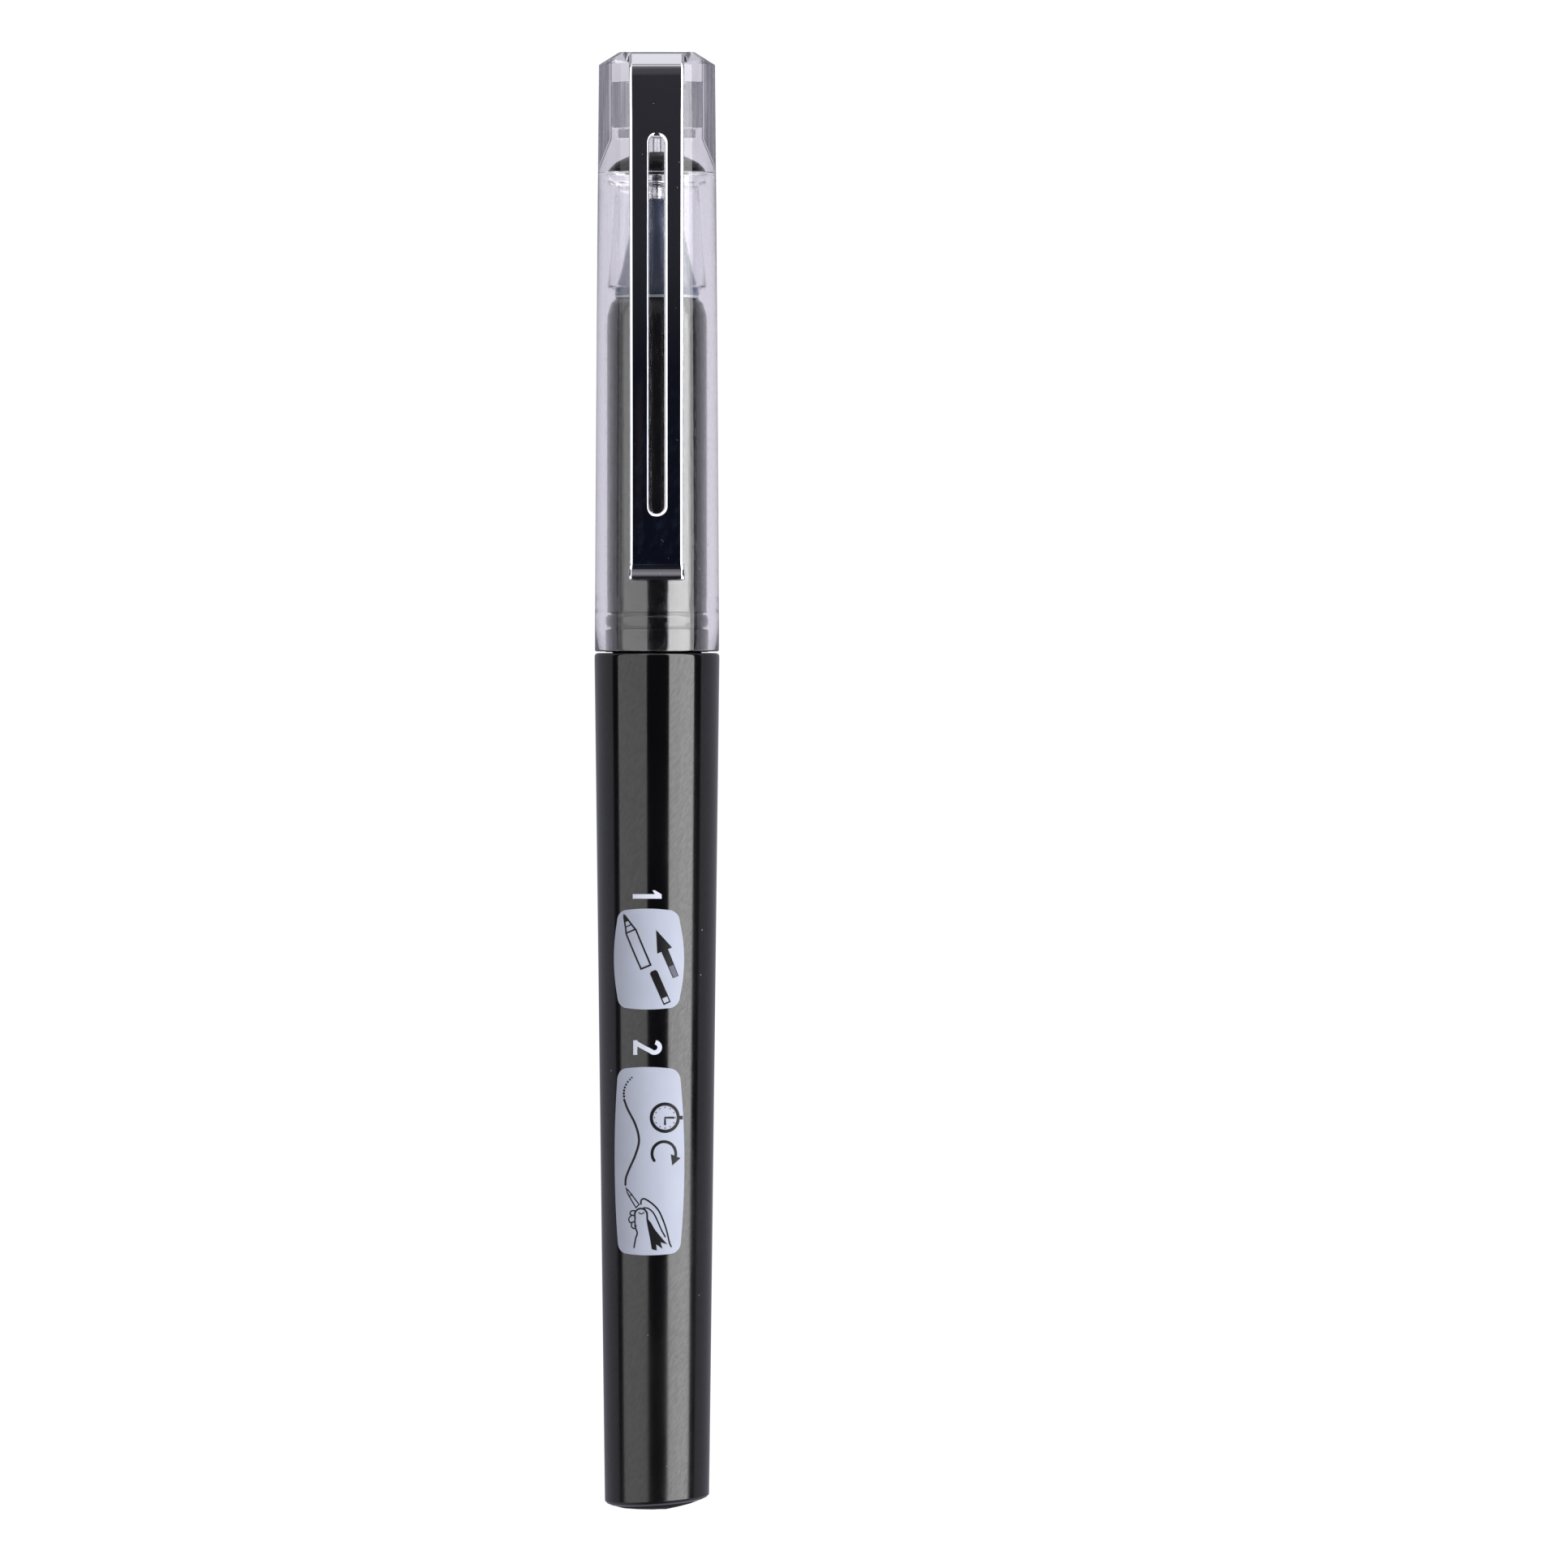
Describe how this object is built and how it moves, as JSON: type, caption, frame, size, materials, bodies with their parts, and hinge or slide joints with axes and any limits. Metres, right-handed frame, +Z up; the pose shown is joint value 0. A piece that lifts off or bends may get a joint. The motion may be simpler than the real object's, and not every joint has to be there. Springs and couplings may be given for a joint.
{
  "type": "cartridge rollerball pen",
  "caption": "Capped liquid-ink pen: clear pull-off cap with a slotted dark metal clip, tapered gloss black barrel, smoky nose cone, steel point and a short ink cartridge inside.",
  "frame": {"origin": "on the surface the pen lies on, under the middle of its length", "axes": "+Y along the pen's axis towards the cap's closed top, +Z up towards the clip, +X to the right seen from above"},
  "size_m": [0.0116, 0.136, 0.0129],
  "materials": {
    "clear_plastic": "clear moulded plastic, polished",
    "milky_plastic": "clear plastic, slightly milky",
    "seal_rubber": "black rubber, satin",
    "black_chrome": "dark chrome on stamped steel sheet",
    "black_plastic": "gloss black, fine handling marks",
    "smoke_plastic": "translucent blue-grey plastic",
    "tip_steel": "turned steel",
    "tip_carbide": "polished hard-metal ball",
    "wick_fibre": "bonded fibre rod, ink-wet",
    "collector_abs": "pale natural plastic",
    "cartridge_poly": "natural polyethylene, translucent",
    "ball_poly": "white plastic ball"
  },
  "bodies": {
    "section": {"grip_section": "black_plastic", "snap_ring": "black_plastic", "nose_cone": "smoke_plastic", "tip_tube": "tip_steel", "ink_wick": "wick_fibre", "ink_collector": "collector_abs", "piercing_tube": "collector_abs"},
    "cap": {"cap_shell": "clear_plastic", "inner_cap": "milky_plastic", "tip_seal": "seal_rubber", "clip_retainer": "milky_plastic"},
    "clip": {"clip": "black_chrome"},
    "barrel": {"barrel": "black_plastic", "barrel_end_plug": "black_plastic"},
    "cartridge": {"cartridge_tube": "cartridge_poly", "cartridge_plug": "cartridge_poly"},
    "tip_ball": {"tip_ball": "tip_carbide"},
    "cartridge_ball": {"cartridge_ball": "ball_poly"}
  },
  "joints": [
    {"name": "cap_pull", "type": "slide", "parent": "section", "child": "cap", "axis": [0, 1, 0], "range_m": [0, 0.06]},
    {"name": "clip_flex", "type": "hinge", "parent": "cap", "child": "clip", "pos_m": [0, 0.0669, 0.01114], "axis": [-1, 0, 0], "range_deg": [0, 3], "stiffness_Nm_per_rad": 4, "springref_deg": -0.57},
    {"name": "barrel_pull", "type": "slide", "parent": "section", "child": "barrel", "axis": [0, -1, 0], "range_m": [0, 0.06]},
    {"name": "cartridge_pull", "type": "slide", "parent": "section", "child": "cartridge", "axis": [0, -1, 0], "range_m": [0, 0.03]},
    {"name": "tip_ball_roll", "type": "hinge", "parent": "section", "child": "tip_ball", "pos_m": [0, 0.05644, 0.00584], "axis": [1, 0, 0], "continuous": true},
    {"name": "cartridge_ball_slide", "type": "slide", "parent": "cartridge", "child": "cartridge_ball", "axis": [0, -1, 0], "range_m": [0, 0.024]}
  ]
}
